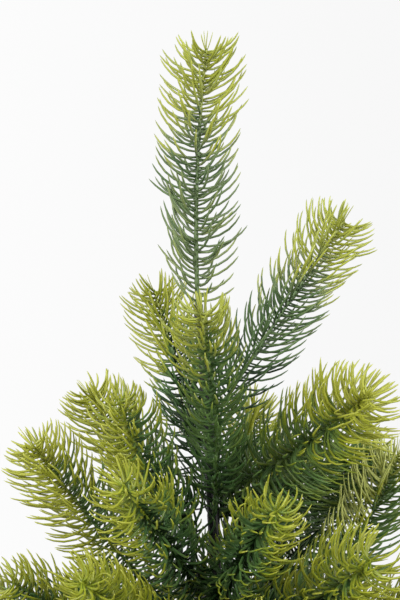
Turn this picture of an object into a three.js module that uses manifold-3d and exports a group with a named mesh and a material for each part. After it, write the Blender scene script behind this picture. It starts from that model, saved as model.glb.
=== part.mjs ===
// A tabletop artificial Christmas tree: moulded sprays of needles stand in tiers round a black pole,
// with a leader on top and a plain four-legged stand below.
// Millimetres, +Z up. The origin is the centre of the stand's flat underside.

import * as THREE from "three";
import { mergeVertices } from "three/addons/utils/BufferGeometryUtils.js";
import Module from "manifold-3d";

const wasm = await Module();
wasm.setup();

// Clearance between neighbouring pieces.
const GAP = 0.3;

// The pole tapers upward, and its upper part leans towards -X.
const POLE = {
  footRadius: 6, topRadius: 3.2, foot: 8, top: 560, leanFrom: 300, lean: -13.5, sides: 12, rings: 12,
};

// The stand: a socket round the pole's foot, four flat-bottomed legs and a clamping knob.
const SOCKET = { footRadius: 21, topRadius: 14, height: 58, chamfer: 2, sides: 24 };
const LEG = {
  count: 4, turn: 45, reach: 150, width: 18, tipWidth: 12, rootHeight: 30, tipHeight: 8, chamfer: 1.5,
};
const KNOB = {
  height: 44, turn: 270, collar: 4, collarRadius: 4, radius: 9, depth: 9, lobes: 6, lobeDepth: 1.4,
};

// A twig is a slim three-sided core with whorls of three needles, each whorl turned against the last.
// A needle here stands for the few that grow round it, so its root is broad.
const CORE = { rootRadius: 2.6, tipRadius: 1.5, sideShare: 0.8 };
const WHORL = { sides: 3, band: 8, twist: Math.PI / 3, spacing: 14, first: 15, last: 7 };
const NEEDLE = {
  length: 40, rootAngle: 54, tipAngle: 38, rootShare: 0.72, rootRun: 34, tipShare: 0.42, tipRun: 24,
};
const TIP_SPIKE = 9;

// A needle must keep this far from everything outside its own twig.
const NEEDLE_CLEARANCE = 0.8;
const LENGTH_JITTER = 0.16;
const ANGLE_JITTER = 8;

// The leader and the upper sprays, each one twig on the pole: the height of its root, the turn from +X
// towards +Y, the mean rise above level, the curl by which it rises more at its tip, its length, and for
// a few how far the middle sways to the side.
const LEADER = { turn: 0, rise: 88, curl: -9, length: 181.5 };
const UPPER_SPRAYS = {
  spray_a: [
    { height: 474, turn: 12, rise: 55.7, curl: -3, length: 178.5 },
    { height: 409, turn: 265, rise: 53, curl: 8, length: 187, sway: 12 },
    { height: 445, turn: 122, rise: 58, curl: 4, length: 150 },
  ],
  spray_b: [
    { height: 424, turn: 322, rise: 31, curl: 12, length: 153 },
    { height: 416, turn: 104, rise: 36, curl: 0, length: 115 },
    { height: 385, turn: 163.5, rise: 50.3, curl: 20, length: 150 },
    { height: 385, turn: 228, rise: 50, curl: 34, length: 156 },
    { height: 402, turn: 67, rise: 44, curl: 0, length: 118 },
  ],
  spray_c: [
    { height: 350, turn: 244, rise: 36, curl: 5, length: 171 },
    { height: 345, turn: 288.7, rise: 36, curl: 10, length: 150, sway: -14 },
    { height: 412, turn: 18, rise: 18, curl: 0, length: 135 },
    { height: 362, turn: 62, rise: 35, curl: 0, length: 150 },
  ],
  spray_d: [
    { height: 314, turn: 199.5, rise: 49, curl: 9, length: 205 },
    { height: 300, turn: 0, rise: 51, curl: 40, length: 216 },
    { height: 315, turn: 312, rise: 30, curl: 10, length: 170 },
    { height: 300, turn: 236, rise: 30, curl: 5, length: 180 },
    { height: 390, turn: 30, rise: 20, curl: 0, length: 150 },
    { height: 352, turn: 136, rise: 38, curl: 5, length: 120 },
    { height: 310, turn: 52, rise: 34, curl: 5, length: 180 },
    { height: 290, turn: 200, rise: 30, curl: 4, length: 172 },
  ],
};

// The lower tiers: branches set evenly round the pole, each a main twig with two side twigs.
const LOWER_TIERS = {
  branch_e: { height: 262, count: 7, turn: 227, rise: 27, curl: 6, length: 192 },
  branch_f: { height: 212, count: 8, turn: 6, rise: 26, curl: 8, length: 208 },
  branch_g: { height: 162, count: 8, turn: 29, rise: 20, curl: 10, length: 226 },
  branch_h: { height: 114, count: 8, turn: 8, rise: 12, curl: 12, length: 240 },
};
const RISE_JITTER = 6;
const TURN_JITTER = 6;
const HEIGHT_STEP = 5;
const BRANCH_SPACING = 20;
const SIDE = { share: 0.4, angle: 35, lengthShare: 0.48, curl: 10, spacing: 26 };

const radians = THREE.MathUtils.degToRad;
const lerp = THREE.MathUtils.lerp;

// A repeatable number from 0 to 1 for each seed.
function scatter(seed) {
  const wave = Math.sin(seed * 12.9898) * 43758.5453;
  return wave - Math.floor(wave);
}

// The same, spread evenly about zero.
function jitter(seed, width) {
  return (scatter(seed) - 0.5) * width;
}

function material(name, color, roughness, metalness) {
  return new THREE.MeshStandardMaterial({ name, color, roughness, metalness });
}

const needleGreen = () => material("needles", 0x5f7434, 0.55, 0);
const poleBlack = () => material("pole", 0x14161a, 0.4, 0.2);
const standBlack = () => material("stand", 0x1b1d1c, 0.5, 0);
const knobBlack = () => material("knob", 0x202223, 0.45, 0);

function namedMesh(name, geometry, finish) {
  const mesh = new THREE.Mesh(geometry, finish);
  mesh.name = name;
  return mesh;
}

function skin(positions, triangles) {
  const geometry = new THREE.BufferGeometry();
  geometry.setAttribute("position", new THREE.Float32BufferAttribute(positions, 3));
  geometry.setIndex(triangles);
  return geometry;
}

// Boolean work: a geometry as a closed solid, and back.
function solid(geometry) {
  const bare = geometry.clone();
  bare.deleteAttribute("normal");
  bare.deleteAttribute("uv");
  const merged = mergeVertices(bare, 1e-4);
  return new wasm.Manifold(new wasm.Mesh({
    numProp: 3,
    vertProperties: new Float32Array(merged.attributes.position.array),
    triVerts: new Uint32Array(merged.index.array),
  }));
}

function fromSolid(body) {
  const mesh = body.getMesh();
  return skin(Array.from(mesh.vertProperties), Array.from(mesh.triVerts));
}

// The pole.
function poleCentre(height) {
  const share = Math.max(0, (height - POLE.leanFrom) / (POLE.top - POLE.leanFrom));
  return new THREE.Vector3(POLE.lean * share * share, 0, height);
}

function poleRadius(height) {
  return lerp(POLE.footRadius, POLE.topRadius, (height - POLE.foot) / (POLE.top - POLE.foot));
}

function makePole() {
  const length = POLE.top - POLE.foot;
  const tube = new THREE.CylinderGeometry(POLE.topRadius, POLE.footRadius, length, POLE.sides, POLE.rings);
  tube.rotateX(Math.PI / 2);
  tube.translate(0, 0, POLE.foot + length / 2);
  const places = tube.attributes.position;
  for (let i = 0; i < places.count; i += 1) {
    places.setX(i, places.getX(i) + poleCentre(places.getZ(i)).x);
  }
  return namedMesh("pole", tube, poleBlack());
}

// The stand.
function socketShape() {
  const { footRadius, topRadius, height, chamfer, sides } = SOCKET;
  const bore = POLE.footRadius / Math.cos(Math.PI / sides) + GAP;
  const floor = POLE.foot - GAP;
  const outline = [
    [0, 0], [footRadius - chamfer, 0], [footRadius, chamfer], [topRadius, height - chamfer],
    [topRadius - chamfer, height], [bore, height], [bore, floor], [0, floor],
  ];
  return turned(outline, sides);
}

// The room that the legs leave for the socket.
function socketRoom() {
  const { footRadius, topRadius, height, chamfer, sides } = SOCKET;
  const below = -1;
  const outline = [
    [0, below], [footRadius + GAP, below], [footRadius + GAP, chamfer], [topRadius + GAP, height - chamfer],
    [topRadius + GAP, height], [0, height],
  ];
  return solid(turned(outline, sides));
}

// A profile of radius and height, turned about the upright axis.
function turned(outline, sides) {
  const profile = outline.map(([radius, height]) => new THREE.Vector2(radius, height));
  return new THREE.LatheGeometry(profile, sides).rotateX(Math.PI / 2);
}

// A leg lies along +X: flat below, sloping to a low rounded tip, and narrower there in plan.
function legShape() {
  const { reach, width, tipWidth, rootHeight, tipHeight, chamfer } = LEG;
  const round = tipHeight / 2;
  const side = new THREE.Shape();
  side.moveTo(chamfer, chamfer);
  side.lineTo(reach - chamfer, chamfer);
  side.lineTo(reach - chamfer, round);
  side.quadraticCurveTo(reach - chamfer, tipHeight - chamfer, reach - round - chamfer, tipHeight - chamfer);
  side.quadraticCurveTo(reach / 3, tipHeight, chamfer, rootHeight - chamfer);
  side.closePath();
  const bevel = { bevelThickness: chamfer, bevelSize: chamfer, bevelSegments: 1 };
  const bar = new THREE.ExtrudeGeometry(side, { depth: width - 2 * chamfer, curveSegments: 4, ...bevel });
  bar.translate(0, 0, chamfer - width / 2);
  bar.rotateX(Math.PI / 2);
  const places = bar.attributes.position;
  for (let i = 0; i < places.count; i += 1) {
    const narrowing = lerp(1, tipWidth / width, places.getX(i) / reach);
    places.setY(i, places.getY(i) * narrowing);
  }
  return bar;
}

function makeLeg(index, room) {
  const turn = radians(LEG.turn) + (index * 2 * Math.PI) / LEG.count;
  const whole = solid(legShape().rotateZ(turn));
  const cut = fromSolid(whole.subtract(room)).rotateZ(-turn);
  const leg = namedMesh(`stand_leg_${index + 1}`, cut, standBlack());
  leg.rotation.z = turn;
  return leg;
}

// The knob's lobed grip, seen along its axis.
function gripOutline() {
  const points = [];
  const steps = KNOB.lobes * 4;
  for (let i = 0; i < steps; i += 1) {
    const angle = (i / steps) * 2 * Math.PI;
    const radius = KNOB.radius - KNOB.lobeDepth * (0.5 - 0.5 * Math.cos(angle * KNOB.lobes));
    points.push(new THREE.Vector2(radius * Math.cos(angle), radius * Math.sin(angle)));
  }
  return new THREE.Shape(points);
}

// The grip and its collar, with the axis along +X from the socket's wall.
function makeKnob() {
  const { height, turn, collar, collarRadius, depth } = KNOB;
  const grip = new THREE.ExtrudeGeometry(gripOutline(), { depth, bevelEnabled: false });
  grip.translate(0, 0, collar);
  const sunk = 1;
  const neck = new THREE.CylinderGeometry(collarRadius, collarRadius, collar + sunk, POLE.sides);
  neck.rotateX(Math.PI / 2);
  neck.translate(0, 0, (collar + sunk) / 2);
  const joined = fromSolid(solid(grip).add(solid(neck)));
  joined.rotateY(Math.PI / 2);
  const slope = (SOCKET.footRadius - SOCKET.topRadius) / (SOCKET.height - 2 * SOCKET.chamfer);
  const lowestEdge = height - collarRadius - SOCKET.chamfer;
  const seat = SOCKET.footRadius - slope * lowestEdge + GAP;
  const knob = namedMesh("stand_knob", joined, knobBlack());
  knob.position.copy(heading(radians(turn), 0)).multiplyScalar(seat).setZ(height);
  knob.rotation.z = radians(turn);
  return knob;
}

function makeStand() {
  const stand = new THREE.Group();
  stand.add(namedMesh("stand_socket", socketShape(), standBlack()));
  const room = socketRoom();
  for (let i = 0; i < LEG.count; i += 1) {
    stand.add(makeLeg(i, room));
  }
  stand.add(makeKnob());
  return stand;
}

// Twigs.
function heading(turn, rise) {
  const level = Math.cos(rise);
  return new THREE.Vector3(level * Math.cos(turn), level * Math.sin(turn), Math.sin(rise));
}

// A twig bends in the upright plane at its turn: half its curl comes off its rise at the root and is
// added to it at the tip. Sway moves its middle out of that plane.
function makeTwig({ root, turn, rise, curl, length, sway = 0 }, thickness, spacing) {
  const span = length / 2;
  const across = new THREE.Vector3(-Math.sin(turn), Math.cos(turn), 0);
  const middle = root.clone().addScaledVector(heading(turn, rise - curl / 2), span);
  const tip = middle.clone().addScaledVector(heading(turn, rise + curl / 2), span);
  middle.addScaledVector(across, sway);
  return {
    curve: new THREE.QuadraticBezierCurve3(root, middle, tip),
    across,
    length,
    thickness,
    spacing,
    start: 0,
    needles: [],
  };
}

function twigRadius(twig, share) {
  return twig.thickness * lerp(CORE.rootRadius, CORE.tipRadius, share);
}

// A point round the twig: out from its axis by a distance, at an angle round it.
function roundTwig(twig, share, angle, distance) {
  const along = twig.curve.getTangent(share);
  const over = along.clone().cross(twig.across).normalize();
  const side = over.clone().cross(along);
  return twig.curve.getPoint(share)
    .addScaledVector(side, Math.cos(angle) * distance)
    .addScaledVector(over, Math.sin(angle) * distance);
}

function whorlCount(twig) {
  return Math.floor((twig.length - WHORL.first - WHORL.last) / twig.spacing) + 1;
}

function whorlShare(twig, index) {
  const first = WHORL.first / twig.length;
  const last = 1 - WHORL.last / twig.length;
  return lerp(first, last, index / (whorlCount(twig) - 1));
}

// Needles are shorter by the twig's root and its tip, and lean forward more towards the tip.
function needleTip(twig, whorl, side, seed) {
  const share = whorlShare(twig, whorl);
  const fromRoot = Math.min(1, (share * twig.length) / NEEDLE.rootRun);
  const fromTip = Math.min(1, ((1 - share) * twig.length) / NEEDLE.tipRun);
  const grown = lerp(NEEDLE.rootShare, 1, fromRoot) * lerp(NEEDLE.tipShare, 1, fromTip);
  const length = NEEDLE.length * grown * (1 + jitter(seed, LENGTH_JITTER));
  const lean = radians(lerp(NEEDLE.rootAngle, NEEDLE.tipAngle, share) + jitter(seed + 0.5, ANGLE_JITTER));
  const angle = (whorl + 1) * WHORL.twist + ((side + 0.5) * 2 * Math.PI) / WHORL.sides;
  return roundTwig(twig, share, angle, length * Math.sin(lean))
    .addScaledVector(twig.curve.getTangent(share), length * Math.cos(lean));
}

function ring(twig, share, turnIndex) {
  const corners = [];
  for (let i = 0; i < WHORL.sides; i += 1) {
    const angle = turnIndex * WHORL.twist + (i * 2 * Math.PI) / WHORL.sides;
    corners.push(roundTwig(twig, share, angle, twigRadius(twig, share)));
  }
  return corners;
}

// One closed skin for a twig: the core's faces in each whorl are drawn out to the needles that found room.
function twigSkin(twig) {
  const positions = [];
  const triangles = [];
  const put = (point) => positions.push(point.x, point.y, point.z) / 3 - 1;
  const putRing = (share, turnIndex) => ring(twig, share, turnIndex).map(put);
  const half = WHORL.band / 2 / twig.length;
  let lower = putRing(twig.start, 0);
  triangles.push(lower[0], lower[2], lower[1]);
  for (let whorl = 0; whorl < whorlCount(twig); whorl += 1) {
    const share = whorlShare(twig, whorl);
    const near = putRing(share - half, whorl + 1);
    const far = putRing(share + half, whorl + 1);
    for (let side = 0; side < WHORL.sides; side += 1) {
      const next = (side + 1) % WHORL.sides;
      triangles.push(lower[side], lower[next], near[side], near[side], lower[next], near[next]);
      const tip = twig.needles[whorl * WHORL.sides + side];
      if (tip) {
        const apex = put(tip);
        triangles.push(near[side], near[next], apex, near[next], far[next], apex);
        triangles.push(far[next], far[side], apex, far[side], near[side], apex);
      } else {
        triangles.push(near[side], near[next], far[side], far[side], near[next], far[next]);
      }
    }
    lower = far;
  }
  const spike = twig.curve.getPoint(1).addScaledVector(twig.curve.getTangent(1), TIP_SPIKE);
  const apex = put(spike);
  for (let side = 0; side < WHORL.sides; side += 1) {
    triangles.push(lower[side], lower[(side + 1) % WHORL.sides], apex);
  }
  return skin(positions, triangles);
}

// A mass is one stem on the pole, with its side twigs. It is built at the origin along +X, then placed.
function placeOf(spec) {
  const place = new THREE.Matrix4().makeRotationZ(radians(spec.turn));
  return place.setPosition(poleCentre(spec.height));
}

// The stem begins where the last corner of its end face is the gap away from the pole.
function clearOfPole(twig, place) {
  const step = 0.05 / twig.length;
  const isClear = () => ring(twig, twig.start, 0).every((corner) => {
    const point = corner.applyMatrix4(place);
    const centre = poleCentre(point.z);
    return Math.hypot(point.x - centre.x, point.y - centre.y) >= poleRadius(point.z) + GAP;
  });
  while (!isClear()) {
    twig.start += step;
  }
}

function makeMass(name, spec, sided) {
  const bend = {
    root: new THREE.Vector3(), turn: 0, rise: radians(spec.rise), curl: radians(spec.curl),
    length: spec.length, sway: spec.sway,
  };
  const main = makeTwig(bend, 1, sided ? BRANCH_SPACING : WHORL.spacing);
  const twigs = [main];
  if (sided) {
    const fork = main.curve.getPoint(SIDE.share);
    const along = main.curve.getTangent(SIDE.share);
    for (const hand of [-1, 1]) {
      const angle = radians(SIDE.angle) * hand;
      const way = along.clone().multiplyScalar(Math.cos(angle)).addScaledVector(main.across, Math.sin(angle));
      const curl = radians(SIDE.curl);
      const rise = Math.asin(way.z) + curl / 2;
      const turn = Math.atan2(way.y, way.x);
      const length = spec.length * SIDE.lengthShare;
      twigs.push(makeTwig({ root: fork, turn, rise, curl, length }, CORE.sideShare, SIDE.spacing));
    }
  }
  return { name, place: placeOf(spec), twigs, main };
}

function lowerBranches() {
  const masses = [];
  Object.entries(LOWER_TIERS).forEach(([tier, spec], row) => {
    for (let i = 0; i < spec.count; i += 1) {
      const seed = (row + 1) * 40 + i;
      const branch = {
        height: spec.height + (i % 2) * HEIGHT_STEP,
        turn: spec.turn + (i * 360) / spec.count + jitter(seed, TURN_JITTER),
        rise: spec.rise + jitter(seed + 0.25, RISE_JITTER),
        curl: spec.curl,
        length: spec.length,
      };
      masses.push(makeMass(`${tier}${i + 1}`, branch, true));
    }
  });
  return masses;
}

function upperSprays() {
  const masses = [];
  for (const [tier, specs] of Object.entries(UPPER_SPRAYS)) {
    specs.forEach((spec, i) => masses.push(makeMass(`${tier}${i + 1}`, spec, false)));
  }
  return masses;
}

function leaderMass() {
  const mass = makeMass("leader", { ...LEADER, height: POLE.top }, false);
  const tilt = radians(LEADER.rise - LEADER.curl / 2 - 90);
  mass.main.start = (GAP + CORE.rootRadius * Math.abs(Math.sin(tilt))) / LEADER.length;
  return mass;
}

// Room for needles: every limb and needle is a round-ended bar that tapers from one radius to another.
function bar(from, to, fromRadius, toRadius, owner) {
  const middle = from.clone().add(to).multiplyScalar(0.5);
  return { from, to, fromRadius, toRadius, owner, middle, half: from.distanceTo(to) / 2 };
}

function twigBars(twig, place) {
  const pieces = 8;
  const bars = [];
  for (let i = 0; i < pieces; i += 1) {
    const shares = [i, i + 1].map((k) => lerp(twig.start, 1, k / pieces));
    const [from, to] = shares.map((share) => twig.curve.getPoint(share).applyMatrix4(place));
    const [fromRadius, toRadius] = shares.map((share) => twigRadius(twig, share));
    bars.push(bar(from, to, fromRadius, toRadius, twig));
  }
  const end = twig.curve.getPoint(1);
  const spike = end.clone().addScaledVector(twig.curve.getTangent(1), TIP_SPIKE);
  bars.push(bar(end.applyMatrix4(place), spike.applyMatrix4(place), CORE.tipRadius, 0, twig));
  return bars;
}

function poleBars() {
  const bars = [];
  const step = (POLE.top - POLE.foot) / POLE.rings;
  for (let i = 0; i < POLE.rings; i += 1) {
    const [low, high] = [i, i + 1].map((k) => POLE.foot + k * step);
    bars.push(bar(poleCentre(low), poleCentre(high), poleRadius(low), poleRadius(high), "pole"));
  }
  const collar = SOCKET.footRadius;
  bars.push(bar(new THREE.Vector3(), new THREE.Vector3(0, 0, SOCKET.height), collar, collar, "stand"));
  return bars;
}

// How near two bars come: the closest points of their axes, less the radii there.
function roomBetween(a, b) {
  const u = a.to.clone().sub(a.from);
  const v = b.to.clone().sub(b.from);
  const w = a.from.clone().sub(b.from);
  const uu = u.dot(u);
  const vv = v.dot(v);
  const uv = u.dot(v);
  const uw = u.dot(w);
  const vw = v.dot(w);
  const spread = uu * vv - uv * uv;
  const clamp = THREE.MathUtils.clamp;
  const parallel = spread < 1e-6 * uu * vv;
  let s = parallel ? 0 : clamp((uv * vw - vv * uw) / spread, 0, 1);
  const t = clamp((uv * s + vw) / vv, 0, 1);
  s = clamp((uv * t - uw) / uu, 0, 1);
  const reach = a.from.clone().addScaledVector(u, s).distanceTo(b.from.clone().addScaledVector(v, t));
  return reach - lerp(a.fromRadius, a.toRadius, s) - lerp(b.fromRadius, b.toRadius, t);
}

function isFree(needle, others) {
  return others.every((other) => {
    if (other.owner === needle.owner) {
      return true;
    }
    const far = needle.half + other.half + needle.fromRadius + other.fromRadius + NEEDLE_CLEARANCE;
    if (needle.middle.distanceToSquared(other.middle) > far * far) {
      return true;
    }
    return roomBetween(needle, other) > NEEDLE_CLEARANCE;
  });
}

// Every stem claims its room first. Then each needle that finds room is kept, and the others are left out.
function growNeedles(masses) {
  const taken = poleBars();
  for (const { twigs, place } of masses) {
    twigs.forEach((twig) => taken.push(...twigBars(twig, place)));
  }
  let seed = 0;
  for (const { twigs, place } of masses) {
    for (const twig of twigs) {
      for (let whorl = 0; whorl < whorlCount(twig); whorl += 1) {
        const share = whorlShare(twig, whorl);
        const root = twig.curve.getPoint(share).applyMatrix4(place);
        for (let side = 0; side < WHORL.sides; side += 1) {
          seed += 1;
          const tip = needleTip(twig, whorl, side, seed);
          const needle = bar(root, tip.clone().applyMatrix4(place), WHORL.band / 2, 0, twig);
          const kept = isFree(needle, taken);
          twig.needles.push(kept ? tip : null);
          if (kept) {
            taken.push(needle);
          }
        }
      }
    }
  }
}

function massMesh({ name, place, twigs }) {
  const skins = twigs.map(twigSkin);
  const joined = skins.length === 1
    ? skins[0]
    : fromSolid(skins.map(solid).reduce((whole, twig) => whole.add(twig)));
  const mesh = namedMesh(name, joined, needleGreen());
  mesh.applyMatrix4(place);
  return mesh;
}

function makeCrown() {
  const crown = new THREE.Group();
  const masses = [leaderMass(), ...upperSprays(), ...lowerBranches()];
  masses.filter((mass) => mass.name !== "leader").forEach((mass) => clearOfPole(mass.main, mass.place));
  growNeedles(masses);
  crown.add(...masses.map(massMesh));
  return crown;
}

const tree = new THREE.Group();
tree.add(makeStand(), makePole(), makeCrown());

export default tree;
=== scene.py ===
"""A tabletop artificial Christmas tree: sprays of moulded needles round a slim black pole, in a plain stand.

Sizes are millimetres and angles are degrees, in the part's own frame with +Z up. The stage and the finished
meshes are in metres.
"""
import math
from collections import namedtuple

import bpy
import numpy as np
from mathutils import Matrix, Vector


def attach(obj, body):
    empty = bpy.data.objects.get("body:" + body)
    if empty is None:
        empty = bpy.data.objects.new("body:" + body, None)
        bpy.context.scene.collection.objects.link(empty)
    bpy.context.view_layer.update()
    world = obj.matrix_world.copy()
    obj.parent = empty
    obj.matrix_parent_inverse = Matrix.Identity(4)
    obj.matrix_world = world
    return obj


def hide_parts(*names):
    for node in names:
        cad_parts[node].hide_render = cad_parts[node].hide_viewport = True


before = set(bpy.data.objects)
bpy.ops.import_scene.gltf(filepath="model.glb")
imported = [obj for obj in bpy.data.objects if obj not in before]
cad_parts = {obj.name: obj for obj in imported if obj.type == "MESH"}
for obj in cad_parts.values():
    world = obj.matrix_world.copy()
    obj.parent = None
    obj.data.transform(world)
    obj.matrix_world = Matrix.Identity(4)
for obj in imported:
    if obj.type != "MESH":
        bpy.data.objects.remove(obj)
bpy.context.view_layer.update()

MM = 0.001
SEED = 20261127
SCATTER_RATE = 12.9898
SCATTER_SCALE = 43758.5453

# The pole, as in the solids: it tapers upward, and its upper part leans towards -X.
POLE_FOOT_RADIUS = 6.0
POLE_TOP_RADIUS = 3.2
POLE_FOOT = 8.0
POLE_TOP = 560.0
POLE_LEAN_FROM = 300.0
POLE_LEAN = -13.5
POLE_SIDES = 32
POLE_RING_STEP = 1.0

# It is wound with tape and thicker where twigs are bound on, and needles keep clear of it.
TAPE_PITCH = 11.0
TAPE_STEP = 0.22
ROOT_LUMP = 0.5
ROOT_LUMP_RUN = 7.0
POLE_CLEARANCE = 1.5

# The stand's socket takes the pole. Profiles are pairs of a distance along the axis and a radius.
SOCKET_SEGMENTS = 72
SOCKET_SHARP_ANGLE = 32
SOCKET_PROFILE = [
    (0.0, 0.0), (0.0, 19.8), (1.2, 21.0), (4.2, 21.0), (5.0, 20.4), (6.2, 19.7), (28.0, 17.3), (47.5, 15.1),
    (48.6, 14.2), (50.4, 14.2), (51.4, 15.0), (56.4, 15.0), (57.5, 14.6), (58.0, 13.4), (58.0, 7.6),
    (57.2, 6.7), (8.0, 6.4), (8.0, 0.0),
]

# A leg falls from the socket's wall and ends round. Its foot is flat, with a small bevel along both edges.
LEG_COUNT = 4
LEG_TURN = 45
LEG_START = 13.0
LEG_REACH = 150.0
LEG_WIDTH = 18.0
LEG_TIP_WIDTH = 12.0
LEG_HEIGHT = 30.0
LEG_TIP_HEIGHT = 8.0
LEG_STATIONS = 48
LEG_BEND_AT = 50.0
LEG_CURVE_STEPS = 200
LEG_END_ARC = (8, 84)
LEG_END_STEPS = 10
LEG_END_POINT = 0.2
LEG_ARC_STEPS = 16
LEG_CROWN_OF_HALF_WIDTH = 0.7
LEG_CROWN_OF_HEIGHT = 0.5
LEG_FOOT_SIDES = np.array([-1.0, -0.9, 0.9, 1.0])
LEG_FOOT_HEIGHTS = np.array([0.8, 0.0, 0.0, 0.8])
LEG_SHARP_ANGLE = 50

# The clamping knob points at the viewer. Only its wide part is lobed.
KNOB_HEIGHT = 44.0
KNOB_SEGMENTS = 72
KNOB_LOBES = 6
KNOB_LOBE_SHARE = 0.16
KNOB_LOBED_FROM = 5.0
KNOB_SHARP_ANGLE = 40
KNOB_PROFILE = [
    (14.6, 0.0), (14.6, 3.6), (15.8, 4.0), (19.9, 4.0), (20.1, 8.0), (20.8, 8.9), (22.0, 9.2), (27.6, 9.2),
    (28.7, 8.7), (29.2, 7.6), (28.6, 6.6), (28.2, 6.0), (28.2, 0.0),
]

# A spray is one twig set round with needles: height of its root on the pole, turn from +X towards +Y, mean
# rise, curl from root to tip, length, and how far its middle sways to the side.
Spray = namedtuple("Spray", "height turn rise curl length sway", defaults=[0])
LEADER = Spray(POLE_TOP, 0, 88, -9, 181.5)
UPPER_SPRAYS = {
    "spray_a": [
        Spray(474, 12, 55.7, -3, 178.5),
        Spray(409, 265, 53, 8, 187, 12),
        Spray(445, 122, 58, 4, 150),
    ],
    "spray_b": [
        Spray(424, 322, 31, 12, 153),
        Spray(416, 104, 36, 0, 115),
        Spray(385, 163.5, 50.3, 20, 150),
        Spray(385, 228, 50, 34, 156),
        Spray(402, 67, 44, 0, 118),
    ],
    "spray_c": [
        Spray(350, 244, 36, 5, 171),
        Spray(345, 288.7, 36, 10, 150, -14),
        Spray(412, 18, 18, 0, 135),
        Spray(362, 62, 35, 0, 150),
    ],
    "spray_d": [
        Spray(314, 199.5, 49, 9, 205),
        Spray(300, 0, 51, 40, 216),
        Spray(315, 312, 30, 10, 170),
        Spray(300, 236, 30, 5, 180),
        Spray(390, 30, 20, 0, 150),
        Spray(352, 136, 38, 5, 120),
        Spray(310, 52, 34, 5, 180),
        Spray(290, 200, 30, 4, 172),
    ],
}

# A lower tier is a ring of branches, each a main twig with two side twigs.
Tier = namedtuple("Tier", "height count turn rise curl length")
LOWER_TIERS = {
    "branch_e": Tier(262, 7, 227, 27, 6, 192),
    "branch_f": Tier(212, 8, 6, 26, 8, 208),
    "branch_g": Tier(162, 8, 29, 20, 10, 226),
    "branch_h": Tier(114, 8, 8, 12, 12, 240),
}

# Branches of a tier stand low and high by turns, and differ a little in turn, in rise and in paint. Each has
# a seed of its own, and the rise and the paint have seeds beside it.
TIER_SEEDS = 40
RISE_SEED = 0.25
PAINT_SEED = 0.5
TURN_JITTER = 6
RISE_JITTER = 6
PAINT_JITTER = 0.14
HEIGHT_STEP = 5

# A branch's twigs: how many, where the side twigs fork, and how they differ from the main twig.
BRANCH_TWIGS = 3
SIDE_FORK = 0.4
SIDE_ANGLE = 35
SIDE_LENGTH_SHARE = 0.48
SIDE_CURL = 10
SIDE_THICKNESS = 0.8

# Twig stems, with the sides and rings of their meshes.
STEM_RADII = (1.5, 0.9)
LEADER_STEM_RADII = (1.7, 1.0)
STEM_CUT = 3.0
STEM_POINT = 2.0
STEM_RIDGES = 4
STEM_RIDGE_DEPTH = 0.14
STEM_KNOT_SPACING = 8.0
STEM_KNOT_DEPTH = 0.16
UPPER_STEM_MESH = (10, 90)
LOWER_STEM_MESH = (7, 24)

# Needles stand in whorls of three, each whorl turned by half a step from the last. The whorls are closer
# together towards the twig's tip, and the needles are shorter near its root and tip.
WHORL_SIDES = 3
WHORL_TURN = 30
WHORL_SPACING = 2.4
WHORL_CROWDING = 0.75
LEADER_WHORL_SPACING = 2.7
LEADER_WHORL_CROWDING = 0.84
WHORL_LAST = 3.5
ROOT_RUN = 34.0
ROOT_SHARE = 0.72
TIP_RUN = 26.0

# One needle is a little waisted at its root, even along its body and drawn out to a point.
NEEDLE_HALF_WIDTH = 0.87
NEEDLE_HALF_DEPTH = 0.77
NEEDLE_SEAT = 0.5
WAIST_SHARE = 0.85
WAIST_RUN = 0.2
POINT_FROM = 0.58
POINT_LOSS = 0.66

# How far needles stray along the twig and, at a looseness of one, in all else. A few are more unruly. Angles
# round the twig are radians here.
PLACE_STRAY = 0.45
ANGLE_STRAY = 0.22
LENGTH_STRAY = 0.05
LEAN_STRAY = 4
SWEEP_STRAY = 8
BEND_STRAY = 0.06
UNRULY_SHARE = 0.05
UNRULY_ANGLE = 0.6
UNRULY_BEND = 3.0

# The stretch of a twig over which its needles lose the spread of its root, the part of its tip run that is
# flared, the stretch from its lower needles to its upper ones, and how hard the upper ones are pressed in
# compared with the lower.
SPREAD_STRETCH = (0.3, 0.9)
FLARED_PART = 0.3
PRESS_STRETCH = (0.33, 0.4)
UPPER_PRESS = 0.3

# Thin fibres stand ahead of each twig's tip.
FIBRES = 5
FIBRE_WIDTH = 0.4
FIBRE_LENGTHS = (10, 16)
FIBRE_LEANS = (8, 30)
FIBRE_SWEEPS = (5, 15)
FIBRE_BEND = 0.05

# How the needles of a spray stand:
#   first   distance of the first whorl from the twig's root
#   length  length of a needle
#   tip     share of that length that is left at the twig's tip
#   crowd   spacing of the whorls against the usual
#   lean    lean from the twig at mid-needle
#   sweep   bend from the needle's root to its tip
#   spread  how much more they lean near the twig's root
#   flare   how much more they lean, at most, at the twig's tip
#   press   how far they lean in, most of all the lower ones on the side away from the paint
#   loose   how unruly they are
#   twist   bend to one side that they share
#   width   thickness against the usual
# How they are tinted, in shades from 0, the deepest green, to 1:
#   yellow  share of the twig where green turns to yellow-green
#   side    where the paint was sprayed from, from +X towards +Z
#   back    how far that is turned towards +Y
#   bias    how much the sprayed side counts
#   dab     shade that a needle's own tip gains
#   dusk  painted shade: how much darker a needle's root is, for the shadow among the needles
#   root    shade at the twig's root; where it lies below the body's, the darkening towards the pole is painted shade
#   body    shade along the twig
#   top     shade of the paint
#   pale    shade from which on the pale row, which is partly painted light, is used, if any
Look = namedtuple("Look", "first length tip crowd lean sweep spread flare press loose twist width "
                          "yellow side back bias dab dusk root body top pale")
PLAIN = Look(
    first=8, length=38, tip=0.48, crowd=0.95, lean=50, sweep=64, spread=-6, flare=20, press=0, loose=1.0,
    twist=0.0, width=1.0,
    yellow=0.57, side=90, back=0, bias=0.14, dab=0.22, dusk=0.16, root=0.05, body=0.22, top=0.76, pale=2.0,
)
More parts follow.
